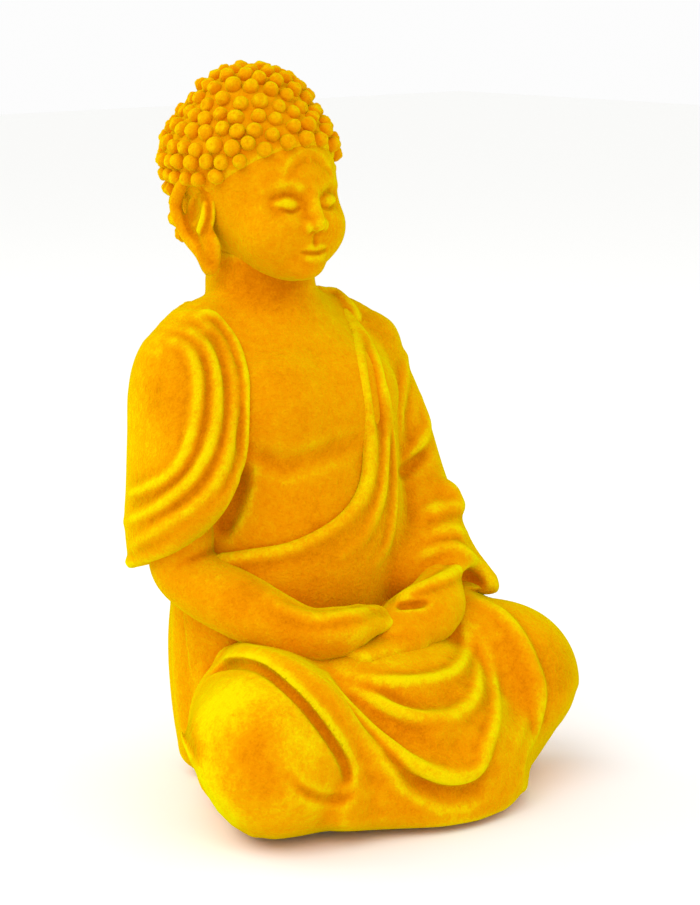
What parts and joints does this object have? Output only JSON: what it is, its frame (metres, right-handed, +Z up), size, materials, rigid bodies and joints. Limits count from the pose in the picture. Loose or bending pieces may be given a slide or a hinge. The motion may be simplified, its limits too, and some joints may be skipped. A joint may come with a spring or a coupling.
{
  "type": "seated buddha statue",
  "caption": "Free-standing seated buddha figure with crossed legs, hands in the lap, draped robe and knob curls, flocked all over, on a flat felted underside.",
  "frame": {"origin": "middle of the felt underside, on the surface the figure stands on", "axes": "+Z up, -Y the way the figure faces, +X the figure's left side"},
  "size_m": [0.158, 0.1402, 0.2404],
  "materials": {
    "flock": "short nylon pile, saturated yellow-orange, on cast resin",
    "resin": "bare cast resin, matt, off-white",
    "felt": "pressed felt, dark brown",
    "beech": "plain turned beech rod"
  },
  "bodies": {
    "root": {"head": "flock", "hair_cap": "flock", "hair_curls": "flock", "right_ear": "flock", "left_ear": "flock", "forehead_dot": "flock", "torso": "flock", "chest_robe": "flock", "back_robe": "flock", "right_sleeve": "flock", "left_sleeve": "flock", "right_forearm": "flock", "left_forearm": "flock", "right_leg": "flock", "left_leg": "flock", "apron": "flock", "hip_robe": "flock", "base_plate": "resin", "felt_pad": "felt", "neck_dowel": "beech", "seat_dowel": "beech", "shoulder_dowels": "beech", "arm_dowels": "beech", "leg_dowels": "beech"}
  },
  "joints": []
}
